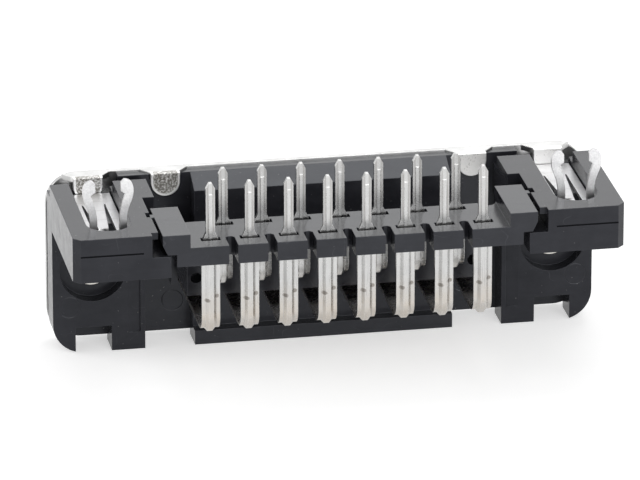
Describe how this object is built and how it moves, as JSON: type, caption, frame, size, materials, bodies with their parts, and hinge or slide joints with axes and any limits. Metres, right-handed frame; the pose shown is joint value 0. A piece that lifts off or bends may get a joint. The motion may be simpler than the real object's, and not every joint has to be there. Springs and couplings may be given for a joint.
{
  "type": "right-angle d-sub connector",
  "caption": "Right-angle socket connector of the D size with solder tails, board locks, grounding straps and jackscrew inserts.",
  "frame": {"origin": "under the middle of the outline, on the plane of the lowest edges that it stands on", "axes": "+X along the contact rows, +Y the way the mating plug leaves, +Z towards the board"},
  "size_m": [0.0392, 0.0198, 0.0158],
  "materials": {
    "tinned_steel": "bright tin plate on drawn steel",
    "black_insulator": "moulded glass-filled polyester, low sheen",
    "black_bracket": "moulded glass-filled polyester, low sheen",
    "tinned_lock": "bright tin plate on stamped bronze strip",
    "nickel_insert": "nickel plate on turned brass",
    "tinned_contact": "matt to bright tin plate on formed copper alloy"
  },
  "bodies": {
    "root": {"front_shell": "tinned_steel", "front_insulator": "black_insulator", "rear_insulator": "black_insulator", "tine_plate": "black_insulator", "bracket_right": "black_bracket", "bracket_left": "black_bracket", "board_lock_right": "tinned_lock", "board_lock_left": "tinned_lock", "threaded_insert_right": "nickel_insert", "threaded_insert_left": "nickel_insert", "contact_01": "tinned_contact", "contact_02": "tinned_contact", "contact_03": "tinned_contact", "contact_04": "tinned_contact", "contact_05": "tinned_contact", "contact_06": "tinned_contact", "contact_07": "tinned_contact", "contact_08": "tinned_contact", "contact_09": "tinned_contact", "contact_10": "tinned_contact", "contact_11": "tinned_contact", "contact_12": "tinned_contact", "contact_13": "tinned_contact", "contact_14": "tinned_contact", "contact_15": "tinned_contact"}
  },
  "joints": []
}
